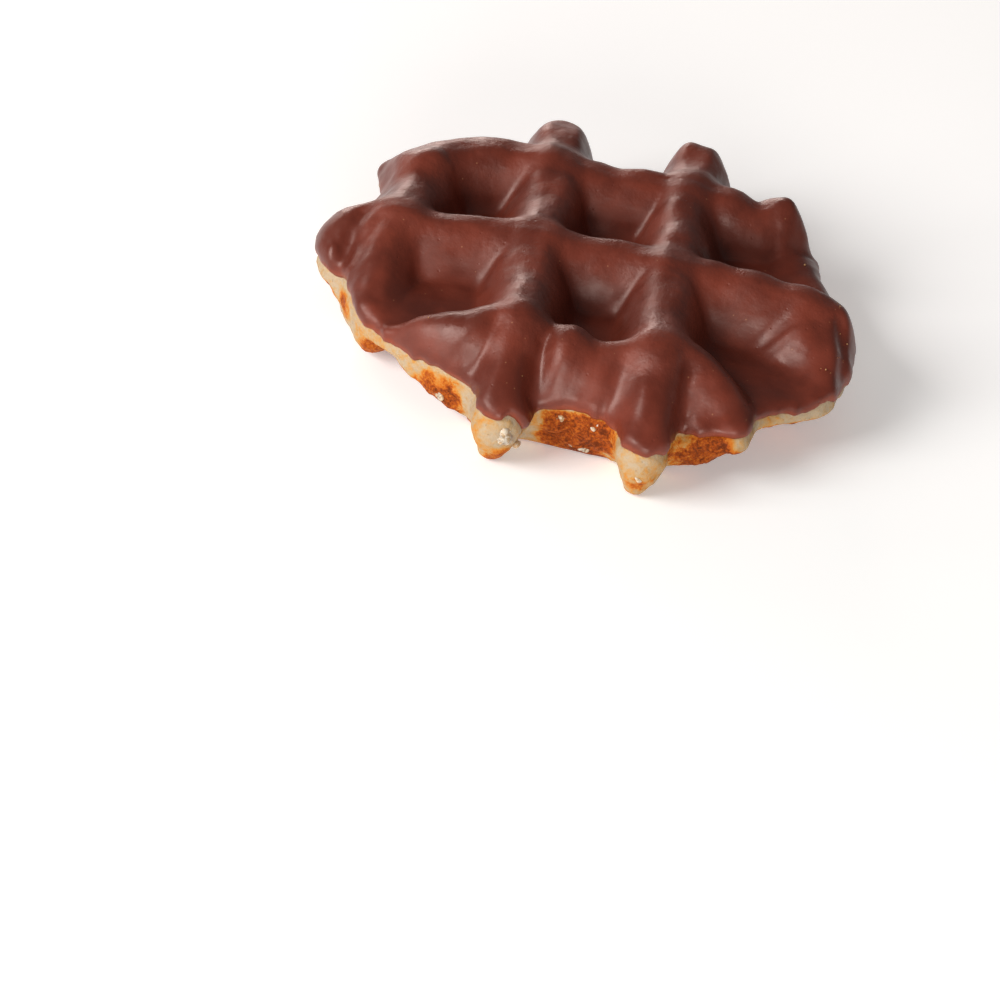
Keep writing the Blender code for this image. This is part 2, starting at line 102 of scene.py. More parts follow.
# Unevenness, each with the height, size and seed of its lumps
EDGE_RAGS = ((0.70, 3.6, 41), (0.45, 1.4, 42))
COAT_WAVES = ((0.30, 6.5, 51), (0.13, 2.9, 52))
COAT_RUNS = ((0.27, 5.0, 53), (0.13, 2.4, 54))
DOUGH_CRAGS = ((0.36, 3.4, 61), (0.24, 1.5, 62))
CRUST_CRAGS = ((0.26, 1.9, 63), (0.17, 0.95, 64))
BAKE_CLOUDS = ((0.16, 5.0, 71), (0.10, 2.2, 72))
BROWNED_RAGS = ((0.5, 2.6, 73), (0.3, 1.1, 74))
THIN_CLOUD = (0.3, 4.0, 81)

# Runs of chocolate: the round they are laid on, how slowly they change on the way down, and how far
# they are set in
RUN_REACH = 45.0
RUN_SLOWNESS = 0.22
RUN_INSET = 0.06

# Distances outside the outline between which the runs begin and the thin edge begins, and its height
RUNS_FROM = (-9.0, -2.0)
THIN_FROM = (-5.0, -1.0)
THIN_BAND = 2.2

# How far the dough is baked, from 0 to 1: where the iron lay, everywhere, at the feet, and at most
IRON_BAKE = 0.62
EVEN_BAKE = 0.12
FOOT_BAKE = 0.2
FOOT_BAKE_BELOW = 1.6
MOST_BAKE = 0.82

# Browned places on the sides: x, y, height, radius and strength
BROWNED = (
    (1.6, -35.6, 4.4, 7.4, 1.1), (23.6, -34.0, 5.0, 6.0, 1.0),
    (-43.6, -12.6, 6.8, 3.2, 0.7), (-23.0, -31.2, 5.0, 5.0, 0.8), (-8.6, -40.0, 3.0, 2.4, 0.5),
    (13.4, -43.0, 2.6, 2.8, 0.45), (30.0, 33.6, 5.0, 8.0, 0.6), (-28.0, 33.6, 5.0, 8.0, 0.6),
    (1.0, 35.4, 5.4, 7.0, 0.8), (45.0, 8.0, 4.6, 6.0, 0.5), (-44.4, 12.0, 4.6, 5.0, 0.5),
)

# Colours, as display values
CHOCOLATE = (106, 44, 30)
CHOCOLATE_DARK = (86, 34, 23)
CHOCOLATE_THIN = (126, 52, 27)
DOUGH_RAMP = (
    (0.00, (166, 146, 120)), (0.18, (170, 137, 95)), (0.34, (178, 124, 60)),
    (0.50, (178, 100, 28)), (0.74, (148, 66, 15)), (1.00, (92, 38, 10)),
)
CRUMB_RAMP = ((0.30, (176, 136, 90)), (0.55, (150, 98, 54)), (0.75, (112, 62, 34)))
CHOCOLATE_SPECK = (180, 128, 92)
CRUST_PORE = (120, 56, 18)
SUGAR_HONEY = (190, 150, 104)
SUGAR_WHITE = (216, 200, 178)
GROUND_TONES = ((251, 251, 251), (253, 253, 252))

# Camera at the photograph's angle, in the plan's millimetres, and its lens
CAMERA_PLACE = (5.374, -581.539, 402.474)
CAMERA_AIM = (-8.057, -63.665, 11.0)
CAMERA_ROLL = 10.839
FOCAL = 143.28
SENSOR = 36.0
CLIP = (0.05, 20.0)

# Crumbs on the coat: their number, how far out those on the rim lie, the heap at the right end, their
# sizes and shape, and how they settle
CRUMBS = 30
CRUMB_RIM = (0.86, 0.99)
CRUMB_HEAP = (42.6, -8.0)
CRUMB_HEAP_SPREAD = (1.6, 8.0)
CRUMB_SMALLEST = 0.09
CRUMB_GROWTH = 0.16
CRUMB_SHAPE = (1.0, 0.8, 0.7)
CRUMB_SETTLING = 8
CRUMB_REACH = 0.8

# Crystals in a sugar lump, in parts of its radius: how far in they lie, their spread and their sizes
CRYSTALS_IN = 0.5
CRYSTAL_SPREAD = (0.36, 0.10, 0.32)
CRYSTAL_SIZES = (0.5, 0.85)
CRYSTALS_PER_RADIUS = 3
CRYSTAL_SHAPE = (1.0, 0.8, 0.9)

# Lights: name, place in metres, size, power and colour; then the sky and the ground, in metres
LIGHTS = (
    ("softbox_left", (-1.02, -0.68, 0.70), 0.80, 22.0, (1.0, 0.98, 0.96)),
    ("reflector_front", (0.10, -1.36, 0.15), 0.80, 19.5, (1.0, 0.98, 0.95)),
    ("window_behind", (-0.31, 0.94, 0.11), 0.40, 4.2, (1.0, 0.82, 0.75)),
    ("window_left", (-0.70, 0.66, 0.27), 0.40, 1.6, (1.0, 0.82, 0.75)),
)
SKY = 0.18
SKY_COLOUR = (1.0, 0.985, 0.97, 1.0)
GROUND_GLOW = 0.21
GROUND_SIZE = 4.0
GROUND_GAP = 0.0002

# The body's outline at mid height, without the lugs that the ribs end in
OUTLINE = (
    (-49.2, 8.0), (-50.3, 1.5), (-49.8, -4.4), (-47.2, -8.8), (-44.4, -11.4), (-42.4, -15.0),
    (-40.6, -19.4), (-36.4, -23.8), (-28.0, -29.6), (-20.0, -33.2), (-10.0, -35.0), (1.0, -35.6),
    (12.0, -35.6), (22.0, -34.8),
    (29.2, -31.4), (34.0, -25.6), (40.5, -21.4), (45.0, -16.6), (46.8, -10.5), (47.6, -2.5),
    (46.2, 4.5), (43.6, 10.5), (40.2, 16.4), (39.8, 23.0), (36.6, 29.4), (29.0, 34.6),
    (12.0, 35.8), (-4.0, 35.2), (-20.0, 35.6), (-31.0, 33.0), (-38.4, 28.8), (-42.2, 22.5),
    (-42.4, 16.0), (-45.0, 11.4),
)

# Lugs: where the ribs run past the outline, from, to and radius
LUGS = (
    ((-11.9, 28.0), (-11.8, 39.4), 7.2),
    ((12.6, 28.0), (13.3, 41.4), 6.3),
    ((17.0, 30.0), (17.8, 38.0), 2.6),
    ((-12.2, -28.0), (-11.7, -38.0), 5.6),
    ((12.4, -28.0), (13.2, -38.8), 5.6),
    ((-36.0, 21.0), (-41.2, 25.4), 2.6),
    ((27.0, -28.0), (28.6, -30.6), 3.4),
)

# Upper ribs: stations of x, y, crest height and half width, then the wall slope left and right of the way
RIBS = {
    "V0": (((-33.6, 18.0, 20.8, 3.4), (-34.4, 9.0, 20.4, 3.4), (-35.8, 0.5, 21.0, 3.6),
            (-37.2, -6.0, 19.2, 3.4), (-38.0, -12.0, 16.6, 3.4), (-37.4, -18.0, 13.2, 3.6)), 1.9, 1.5),
    "V1": (((-12.0, 43.6, 18.8, 4.4), (-12.0, 38.0, 20.4, 5.0), (-11.5, 32.0, 20.8, 4.2),
            (-11.4, 26.0, 21.8, 3.8), (-11.7, 13.9, 21.4, 3.5), (-11.9, 0.0, 21.8, 3.7),
            (-11.3, -12.1, 21.4, 3.5), (-11.5, -24.1, 22.2, 3.6), (-11.8, -30.0, 19.8, 3.4),
            (-11.8, -36.0, 16.0, 3.4), (-11.6, -42.0, 12.2, 3.6)), 1.9, 1.9),
    "V2": (((13.4, 44.5, 18.8, 4.4), (13.2, 39.5, 20.6, 4.7), (12.6, 33.0, 20.8, 4.2),
            (12.4, 25.8, 21.8, 3.8), (12.4, 13.1, 21.4, 3.3), (12.5, 0.0, 21.8, 3.7),
            (12.3, -12.8, 21.4, 3.5), (12.3, -25.2, 22.0, 3.6), (12.6, -31.0, 19.2, 3.2),
            (13.2, -37.0, 15.6, 3.4), (13.8, -43.4, 11.8, 3.8)), 1.9, 2.2),
    "H0": (((-35.2, 17.0, 21.0, 3.4), (-32.6, 21.0, 21.2, 3.6),
            (-27.5, 24.2, 21.2, 3.6), (-20.6, 26.2, 21.6, 3.7), (-11.4, 26.0, 21.8, 3.8),
            (0.0, 25.2, 21.0, 3.6), (12.4, 26.3, 21.8, 3.8), (20.5, 26.2, 21.2, 3.5),
            (25.6, 26.2, 19.8, 3.2), (28.4, 27.2, 20.8, 3.0), (30.4, 27.6, 21.3, 2.6)), 1.35, 1.9),
    "corner": (((-34.4, 19.0, 20.8, 3.4), (-38.0, 21.6, 18.6, 3.2), (-42.0, 24.4, 14.0, 2.8)), 1.9, 1.9),
    "lobe": (((16.6, 30.0, 15.6, 2.0), (17.6, 39.0, 15.8, 1.8)), 1.9, 1.9),
    "H1": (((-47.0, -5.0, 15.6, 4.0), (-44.2, -1.6, 18.4, 4.0), (-39.8, 0.6, 20.2, 3.6),
            (-35.8, 1.0, 21.0, 3.4), (-30.0, 0.6, 20.6, 3.4), (-23.3, 1.2, 21.0, 3.4),
            (-12.0, 1.4, 21.8, 3.7), (0.5, 1.8, 21.2, 3.4), (12.6, 1.5, 21.8, 3.7),
            (22.0, 1.2, 21.4, 3.4), (30.0, 0.6, 21.0, 3.4), (36.9, 0.2, 20.6, 3.5),
            (41.1, -1.3, 19.0, 3.6)), 1.9, 1.7),
    "H2": (((-33.5, -25.4, 13.2, 2.4), (-29.4, -26.2, 16.4, 2.4), (-25.0, -26.4, 18.6, 2.6),
            (-20.0, -26.2, 20.4, 2.8), (-15.6, -25.2, 21.6, 3.2), (-11.6, -24.4, 22.0, 3.5),
            (-6.6, -25.0, 20.0, 3.2), (-2.2, -26.0, 20.9, 3.4),
            (2.6, -26.4, 19.2, 3.2), (8.5, -25.8, 20.4, 3.2), (12.3, -24.8, 22.0, 3.5),
            (18.9, -24.4, 21.0, 2.8), (23.0, -25.4, 18.8, 2.4), (26.5, -27.2, 15.6, 2.4),
            (29.0, -29.6, 12.2, 2.6)), 1.7, 1.35),
    "V3": (((33.4, 21.0, 14.4, 2.6), (37.0, 15.0, 14.2, 3.0), (39.4, 8.0, 15.2, 3.2),
            (38.8, 1.0, 19.2, 4.6), (39.0, -4.0, 19.0, 4.8), (41.0, -9.0, 17.0, 3.8),
            (42.0, -13.6, 14.6, 3.2), (42.2, -18.0, 12.6, 3.0)), 1.7, 1.25),
}

# Ribs of the underside, set forward of the upper ones: stations of x, y, foot height and half width
FEET = (
    ((-37.4, 16.0, 0.4, 4.0), (-37.4, -8.0, 0.0, 4.0), (-36.6, -14.6, 1.4, 3.4)),
    ((-12.6, 40.0, 0.0, 4.2), (-12.4, -35.4, 0.0, 4.0)),
    ((12.4, 41.0, 0.0, 4.2), (12.8, -38.0, 0.0, 4.0)),
    ((36.2, 17.0, 0.4, 4.0), (36.6, -9.0, 1.2, 4.0)),
    ((-33.0, 21.4, 0.4, 4.0), (-20.0, 22.4, 0.0, 4.0), (30.0, 22.2, 0.2, 4.0)),
    ((-42.0, -3.6, 5.0, 3.6), (-36.0, -3.6, 0.0, 4.0), (37.0, -3.8, 0.4, 4.0),
     (42.0, -3.8, 5.0, 3.6)),
    ((-27.0, -28.0, 5.6, 3.2), (-21.5, -29.2, 3.4, 3.6), (-15.6, -29.4, 0.6, 4.0),
     (-8.0, -30.0, 0.0, 4.0), (12.0, -29.8, 0.0, 4.0), (21.0, -29.4, 1.6, 4.0),
     (24.4, -29.4, 2.8, 3.6), (27.0, -29.2, 6.6, 3.2)),
)

# Height of the coat's lower edge around the sides: x, y and level
EDGE = (
    (-50.0, 2.0, 10.2), (-49.4, -5.0, 10.7), (-45.4, -10.6, 11.2), (-42.0, -16.0, 11.2),
    (-40.6, -19.6, 10.6), (-36.4, -23.6, 10.3), (-29.0, -29.0, 10.8), (-22.0, -32.4, 10.7),
    (-18.0, -35.0, 10.4), (-16.4, -40.0, 11.8), (-11.8, -43.6, 12.0), (-8.8, -41.6, 12.8),
    (-6.9, -39.4, 7.0), (-6.0, -36.8, 7.4), (-4.0, -35.5, 10.2), (2.0, -35.6, 10.9),
    (6.4, -36.4, 9.6), (8.4, -40.4, 11.4), (12.6, -44.2, 11.8), (17.2, -42.0, 10.6),
    (19.0, -36.4, 8.8), (22.5, -34.6, 10.2), (29.4, -32.0, 11.6), (33.6, -25.4, 10.8),
    (43.8, -18.4, 10.9), (46.4, -11.0, 9.9), (47.6, -3.0, 10.6), (43.8, 10.0, 10.4),
    (39.8, 23.0, 9.8), (29.0, 34.6, 10.4), (13.2, 47.6, 10.6), (-11.8, 46.4, 10.4),
    (-30.0, 33.4, 10.6), (-43.4, 25.0, 9.6), (-43.0, 15.0, 10.6), (-50.0, 2.0, 10.2),
)

# Lumps of sugar baked into the front face: x, height and radius
SUGAR = (
    (-10.4, 7.0, 1.9), (-8.2, 4.4, 1.1), (-1.6, 8.4, 0.9), (1.4, 2.2, 1.2), (3.6, 2.0, 1.3),
    (4.6, 8.0, 0.9), (13.6, 5.2, 1.2), (-22.0, 5.6, 1.1),
)

# Grooves and furrows pressed into the coat: from, to, width and depth
GROOVES = (
    ((-42.4, 0.0), (-45.2, -10.0), 1.5, 1.2),
    ((-39.6, -2.5), (-42.6, -13.0), 1.3, 0.7),
    ((-15.4, -28.0), (-19.2, -35.0), 1.5, 0.9),
    ((-6.8, -28.0), (-6.2, -35.5), 1.9, 1.4),
    ((7.0, -29.5), (5.2, -36.0), 1.6, 0.9),
    ((18.2, -27.0), (19.4, -37.0), 1.7, 1.8),
    ((43.0, -4.0), (46.0, -14.0), 1.5, 1.4),
)


def smooth_max(a, b, reach):
    """The larger of a and b, with a round of the given reach where they meet."""
    near = np.maximum(reach - np.abs(a - b), 0) / reach
    return np.maximum(a, b) + near * near * reach / 4


def smooth_min(a, b, reach):
    """The smaller of a and b, rounded in the same way."""
    return -smooth_max(-a, -b, reach)


def spline(points, steps, closed=False):
    """A Catmull-Rom curve through the points, as rows."""
    rows = np.array(points, float)
    if closed:
        rows = np.vstack((rows[-1], rows, rows[0], rows[1]))
    else:
        rows = np.vstack((2 * rows[0] - rows[1], rows, 2 * rows[-1] - rows[-2]))
    t = np.linspace(0, 1, steps, endpoint=False)[:, None]
    runs = []
    for p0, p1, p2, p3 in zip(rows, rows[1:], rows[2:], rows[3:]):
        runs.append(0.5 * (2 * p1 + (p2 - p0) * t + (2 * p0 - 5 * p1 + 4 * p2 - p3) * t ** 2
                           + (3 * p1 - p0 - 3 * p2 + p3) * t ** 3))
    if not closed:
        runs.append(rows[-2][None])
    return np.vstack(runs)


def along(x, y, path):
    """Distance from the path, the side of it, the run past its ends, and its values where it is nearest."""
    best = np.full(x.shape, np.inf)
    side = np.zeros(x.shape)
    past = np.zeros(x.shape)
    values = np.zeros((path.shape[1] - 2,) + x.shape)
    final = len(path) - 2
    for number, (start, end) in enumerate(zip(path, path[1:])):
        run = end - start
        rx = x - start[0]
        ry = y - start[1]
        free = (rx * run[0] + ry * run[1]) / (run[0] ** 2 + run[1] ** 2)
        t = np.clip(free, 0, 1)
        gap = np.hypot(rx - t * run[0], ry - t * run[1])
        nearer = gap < best
        best = np.where(nearer, gap, best)
        side = np.where(nearer, np.sign(run[0] * ry - run[1] * rx), side)
        beyond = np.maximum(-free * (number == 0), (free - 1) * (number == final))
        past = np.where(nearer, np.maximum(beyond, 0) * np.hypot(*run[:2]), past)
        for row, value in enumerate(values):
            values[row] = np.where(nearer, start[2 + row] + t * run[2 + row], value)
    return best, side, past, values


def outline_distance(x, y):
    """How far a point lies outside the outline with its lugs, below nought inside."""
    loop = spline(OUTLINE, 5, closed=True)
    loop = np.vstack((loop, loop[:1]))
    gap, *_ = along(x, y, loop)
    inside = np.zeros(x.shape, bool)
    for (ax, ay), (bx, by) in zip(loop, loop[1:]):
        if ay != by:
            crosses = ((ay > y) != (by > y)) & (x < (bx - ax) * (y - ay) / (by - ay) + ax)
            inside ^= crosses
    out = np.where(inside, -gap, gap)
    for start, end, radius in LUGS:
        lug, *_ = along(x, y, np.array((start, end)))
        out = smooth_min(out, lug - radius, LUG_BLEND)
    return out


def edge_level(x, y, out):
    """Height of the coat's lower edge at the sides, falling to a level inside the web further in."""
    *_, (level,) = along(x, y, np.array(EDGE))
    return level + (EDGE_INSIDE - level) * np.clip(-out / EDGE_RAMP, 0, 1)


def rib_field(x, y):
    """For each rib: distance, wall slope on that side, crest height and half width."""
    field = []
    for stations, left, right in RIBS.values():
        gap, side, past, (crest, half) = along(x, y, spline(stations, 4))
        wall = np.where(side > 0, left, right)
        wall = wall + (END_WALL - wall) * np.clip(past / END_REACH, 0, 1)
        field.append((gap, wall, crest, half))
    return field


def ripple(x, y, height, size, seed):
    """A smooth uneven surface with lumps of about the given height and size."""
    rng = np.random.default_rng(seed)
    total = np.zeros(x.shape)
    for _ in range(RIPPLE_WAVES):
        angle, phase = rng.uniform(0, 2 * np.pi, 2)
        pitch = size * rng.uniform(1.4, 3.0)
        total += np.sin(2 * np.pi * (x * np.cos(angle) + y * np.sin(angle)) / pitch + phase)
    return height * total * 2 / RIPPLE_WAVES


def top_height(x, y, bare, out, ribs):
    """Height of the upper surface: of the coat where bare is 0, of the dough where it is 1."""
    top = FLOOR + ripple(x, y, *FLOOR_RIPPLE) - COAT_ON_FLOOR * bare
    top = top - RIM_SINK * np.clip(1 + out / RIM_REACH, 0, 1) ** 2
    for gap, wall, crest, half in ribs:
        crest = crest + ripple(x, y, *CREST_RIPPLE) - COAT_ON_CREST * bare
        flank = wall * smooth_max(gap - half + COAT_ON_WALL * bare, 0, SHOULDER)
        top = smooth_max(top, crest - flank, FILLET)
    for start, end, width, depth in GROOVES:
        gap, *_ = along(x, y, np.array((start, end)))
        top = top - depth * np.exp(-(gap / width) ** 2)
    return top


def bottom_height(x, y, out):
    """Height of the underside, with its own ribs and pockets."""
    rim = np.clip(1 + out / RIM_UNDER_REACH, 0, 1)
    low = CEILING + (RIM_UNDERSIDE - CEILING) * rim + ripple(x, y, *CEILING_RIPPLE)
    for stations in FEET:
        gap, *_, (foot, half) = along(x, y, np.array(stations))
        foot = foot - FOOT_SINK + ripple(x, y, *FOOT_RIPPLE)
        low = smooth_min(low, foot + WALL * smooth_max(gap - half, 0, SHOULDER), FILLET)
    return low


class Plan:
    """The heights and the outline on a plan grid, read anywhere between its points."""

    def __init__(self, step):
        self.step = step
        self.low = np.array(PLAN_LOW)
        x, y = (np.arange(low, high, step) for low, high in zip(PLAN_LOW, PLAN_HIGH))
        x, y = np.meshgrid(x, y, indexing="ij")
        self.x, self.y = x, y
        self.out = outline_distance(x, y)
        ribs = rib_field(x, y)
        self.coat = top_height(x, y, 0, self.out, ribs)
        self.dough = top_height(x, y, 1, self.out, ribs)
        self.under = bottom_height(x, y, self.out)

    def steepness(self, grid):
        """Length of the surface's slanted side for each unit of plan."""
        along_x, along_y = np.gradient(grid, self.step)
        return np.sqrt(1 + along_x ** 2 + along_y ** 2)

    def read(self, grid, x, y):
        """The grid's values at the given places."""
        u = (x - self.low[0]) / self.step
        v = (y - self.low[1]) / self.step
        i = np.clip(u.astype(int), 0, grid.shape[0] - 2)
        j = np.clip(v.astype(int), 0, grid.shape[1] - 2)
        u = u - i
        v = v - j
        near = grid[i, j] * (1 - u) + grid[i + 1, j] * u
        far = grid[i, j + 1] * (1 - u) + grid[i + 1, j + 1] * u
        return near * (1 - v) + far * v


class Body:
    """A solid between an upper surface, the sides and, where under is set, the underside."""

    def __init__(self, plan, top, under, inset):
        self.plan = plan
        self.under = under
        self.inset = inset
        steep = plan.steepness(top)
        self.grids = [plan.out, top, steep, plan.under, plan.steepness(plan.under)]

    def terms(self, out, top, top_steep, low, low_steep, z):
        """Heights above the top, outside the sides and below the underside, as distances."""
        lean = SIDE_LEAN * smooth_max(z - LEAN_FROM, 0, LEAN_BLEND)
        lean = lean + UNDERCUT * smooth_max(UNDERCUT_FROM - z, 0, UNDERCUT_BLEND)
        return (z - top) / top_steep, out + self.inset + lean, (low - z) / low_steep

    def blend(self, *place):
        """Height above the surface, about a distance, below nought inside."""
        top, side, under = self.terms(*place)
        body = smooth_max(top, side, EDGE_ROUND)
        if self.under:
            body = smooth_max(body, under, UNDER_ROUND)
            body = np.maximum(body, -place[-1])
        return body

    def on_grid(self, levels):
        return self.blend(*(grid[:, :, None] for grid in self.grids), levels[None, None, :])

    def at(self, points):
        x, y, z = points.T
        return self.blend(*(self.plan.read(grid, x, y) for grid in self.grids), z)

    def terms_at(self, points):
        x, y, z = points.T
        return self.terms(*(self.plan.read(grid, x, y) for grid in self.grids), z)

    def normals(self, points):
        """Unit directions out of the body."""
        nudges = PROBE * np.eye(3)
        rise = np.stack([self.at(points + nudge) - self.at(points - nudge) for nudge in nudges], 1)
        return rise / np.maximum(np.linalg.norm(rise, axis=1), 1e-9)[:, None]


def surface_net(values, origin, step):
    """Points and quads of the skin where a grid of values changes sign, one point a cell."""
    inside = values < 0
    cells = np.array(values.shape) - 1
    total = np.zeros((*cells, 3))
    count = np.zeros(cells)
    for corner in np.ndindex(2, 2, 2):
        near = tuple(slice(c, c + n) for c, n in zip(corner, cells))
        for axis in range(3):
            if corner[axis]:
                continue
            next_corner = [c + (m == axis) for m, c in enumerate(corner)]
            far = tuple(slice(c, c + n) for c, n in zip(next_corner, cells))
            crossed = inside[near] != inside[far]
            part = np.where(crossed, values[near] / np.where(crossed, values[near] - values[far], 1), 0)
            for m in range(3):
                total[..., m] += crossed * corner[m] + (part if m == axis else 0)
            count += crossed
    used = count > 0
    index = np.full(tuple(cells), -1)
    index[used] = np.arange(used.sum())
    points = (np.argwhere(used) + total[used] / count[used][:, None]) * step + origin
    rings = []
    for axis in range(3):
        low = tuple(slice(0 if m == axis else 1, n) for m, n in enumerate(cells))
        high = tuple(slice(1, n + 1) if m == axis else slice(1, n) for m, n in enumerate(cells))
        crossed = inside[low] != inside[high]
        cell = np.argwhere(crossed) + [0 if m == axis else 1 for m in range(3)]
        one, two = np.roll(np.eye(3, dtype=int), -axis - 1, axis=0)[:2]
        corners = np.stack([cell - one - two, cell - two, cell, cell - one], 1)
        ring = index[corners[..., 0], corners[..., 1], corners[..., 2]]
        leaving = inside[low][crossed]
        rings.append(np.where(leaving[:, None], ring, ring[:, ::-1]))
    return points, np.vstack(rings)


def settle(body, points):
    """Move points near the skin onto it."""
    for _ in range(SETTLE_ROUNDS):
        step = np.clip(body.at(points), -SETTLE_REACH, SETTLE_REACH)
        points = points - body.normals(points) * step[:, None]
    points[:, 2] = np.maximum(points[:, 2], 0)
    return points


def smooth_step(value, low, high):
    """From 0 at low to 1 at high, flat at both ends."""
    t = np.clip((value - low) / (high - low), 0, 1)
    return t * t * (3 - 2 * t)


def lumps_at(points, height, size, seed):
    """Soft random lumps of the given height and size, in space."""
    table = np.random.default_rng(seed).uniform(-1, 1, (LUMP_CELLS, LUMP_CELLS, LUMP_CELLS))
    place = points / size + LUMP_PLACE
    base = np.floor(place).astype(int)
    t = place - base
    t = t * t * (3 - 2 * t)
    total = np.zeros(len(points))
    for corner in np.ndindex(2, 2, 2):
        weight = np.prod([t[:, m] if corner[m] else 1 - t[:, m] for m in range(3)], axis=0)
        i, j, k = ((base + corner) % LUMP_CELLS).T
        total += weight * table[i, j, k]
    return height * total


def lumps_together(points, layers):
    """Lumps of several sizes, one on top of the other."""
    return sum(lumps_at(points, *layer) for layer in layers)


class Coat(Body):
    """The chocolate as a shell: under its outer skin, above its edge and outside the dough."""

    def __init__(self, plan, dough):
        super().__init__(plan, plan.coat, False, 0.0)
        self.dough = dough
        flat = np.stack((plan.x.ravel(), plan.y.ravel(), 0 * plan.x.ravel()), 1)
        rags = lumps_together(flat, EDGE_RAGS).reshape(plan.x.shape)
        self.edge = edge_level(plan.x, plan.y, plan.out) + rags

    def shell(self, outer, inner, edge, z):
        """The coat from the distances to its outer skin and to the dough, and the height of its edge."""
        lip = inner - LIP_THICKNESS - LIP_GROWTH * np.maximum(z - edge, 0)
        cut = smooth_max(smooth_max(outer, lip, LIP_ROUND), edge - z, LIP_ROUND)
        return smooth_max(cut, -inner - COAT_SINK, SINK_ROUND)

    def on_grid(self, levels):
        edge = self.edge[:, :, None]
        outer = super().on_grid(levels)
        return self.shell(outer, self.dough.on_grid(levels), edge, levels[None, None, :])

    def at(self, points):
        x, y, z = points.T
        edge = self.plan.read(self.edge, x, y)
        return self.shell(super().at(points), self.dough.at(points), edge, z)


def mesh_piece(name, points, faces, surface, node=None):
    """A smooth-shaded object from points in the plan's millimetres."""
    mesh = bpy.data.meshes.new(name)
    placed = (points - (*ORIGIN, 0)) * MM
    mesh.from_pydata(placed.tolist(), [], faces.tolist())
    mesh.shade_smooth()
    mesh.materials.append(surface)
    piece = bpy.data.objects.new(name, mesh)
    bpy.context.scene.collection.objects.link(piece)
    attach(piece, "root")
    if node:
        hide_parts(node)
    return piece


def set_values(piece, name, values):
    """One number for each vertex, for the material to read."""
    layer = piece.data.attributes.new(name, "FLOAT", "POINT")
    layer.data.foreach_set("value", values.astype(np.float32))


def make_dough():
    """The baked dough, rough where it is browned and close-grained where it is pale."""
    plan = Plan(DOUGH_STEP)
    body = Body(plan, plan.dough, True, COAT_ON_SIDE)
    levels = np.arange(LOWEST, TALLEST, DOUGH_STEP)
    points, faces = surface_net(body.on_grid(levels), np.array((*PLAN_LOW, LOWEST)), DOUGH_STEP)
    points = settle(body, points)
    normals = body.normals(points)
    x, y, z = points.T
    level = edge_level(x, y, plan.read(plan.out, x, y))
    top, side, under = body.terms_at(points)
    crust = smooth_step(under - side, -0.7, 0.5) * smooth_step(under - top, -2.0, 0.0)
    bake = IRON_BAKE * crust
    rag = lumps_together(points, BROWNED_RAGS)
    for px, py, pz, radius, strength in BROWNED:
        gap = ((x - px) ** 2 + (y - py) ** 2 + (z - pz) ** 2) / radius ** 2
        bake = bake + strength * smooth_step(1.1 - gap + rag, -0.5, 1.1)
    bake = bake + EVEN_BAKE + lumps_together(points, BAKE_CLOUDS)
    bake = bake + FOOT_BAKE * smooth_step(FOOT_BAKE_BELOW - z, 0.0, FOOT_BAKE_BELOW)
    bake = np.clip(bake, 0, MOST_BAKE) * smooth_step(level - z, -0.6, 0.6)
    bare = smooth_step(level - z, 0.2, 1.4) * smooth_step(z, 0.1, 0.8)
    crags = lumps_together(points, DOUGH_CRAGS)
    crags = crags + smooth_step(bake, 0.3, 0.6) * lumps_together(points, CRUST_CRAGS)
    points = points + normals * (bare * crags)[:, None]
    points[:, 2] = np.maximum(points[:, 2], 0)
    piece = mesh_piece("waffle_dough", points, faces, dough_material(), "waffle")
    set_values(piece, "bake", bake)
    return body


def down_flow(points):
    """Places that change quickly round the waffle and slowly down its sides, as runs of chocolate do."""
    reach = np.maximum(np.hypot(points[:, 0], points[:, 1]), 1.0)
    round_rim = points[:, :2] / reach[:, None] * RUN_REACH
    return np.column_stack((round_rim, (reach + points[:, 2]) * RUN_SLOWNESS))


def make_coat():
    """The chocolate coat, with its soft waves and a thin reddish edge."""
    plan = Plan(COAT_STEP)
    body = Coat(plan, Body(plan, plan.dough, True, COAT_ON_SIDE))
    levels = np.arange(COAT_LOWEST, TALLEST, COAT_STEP)
    points, faces = surface_net(body.on_grid(levels), np.array((*PLAN_LOW, COAT_LOWEST)), COAT_STEP)
    points = settle(body, points)
    normals = body.normals(points)
    x, y, z = points.T
    level = plan.read(body.edge, x, y)
    outside = smooth_step(body.dough.at(points), 0.3, 0.8)
    out = plan.read(plan.out, x, y)
    near_side = smooth_step(out, *RUNS_FROM)
    runs = near_side * (lumps_together(down_flow(points), COAT_RUNS) - RUN_INSET)
    waves = lumps_together(points, COAT_WAVES) + runs
    points = points + normals * (outside * waves)[:, None]
    surface = chocolate_material()
    piece = mesh_piece("chocolate_coat", points, faces, surface, "chocolate_coating")
    band = smooth_step(level + THIN_BAND - z, 0.0, THIN_BAND)
    thin = band * smooth_step(out, *THIN_FROM) + lumps_at(points, *THIN_CLOUD)
    set_values(piece, "thin", np.clip(thin, 0, 1))
    return body


def on_front(body, x, z):
    """The y at which a line from the front meets the body."""
    y = np.arange(PLAN_LOW[1], 0, SEARCH_STEP)
    depth = body.at(np.stack((x + 0 * y, y, z + 0 * y), 1))
    return y[np.argmax(depth < 0)]


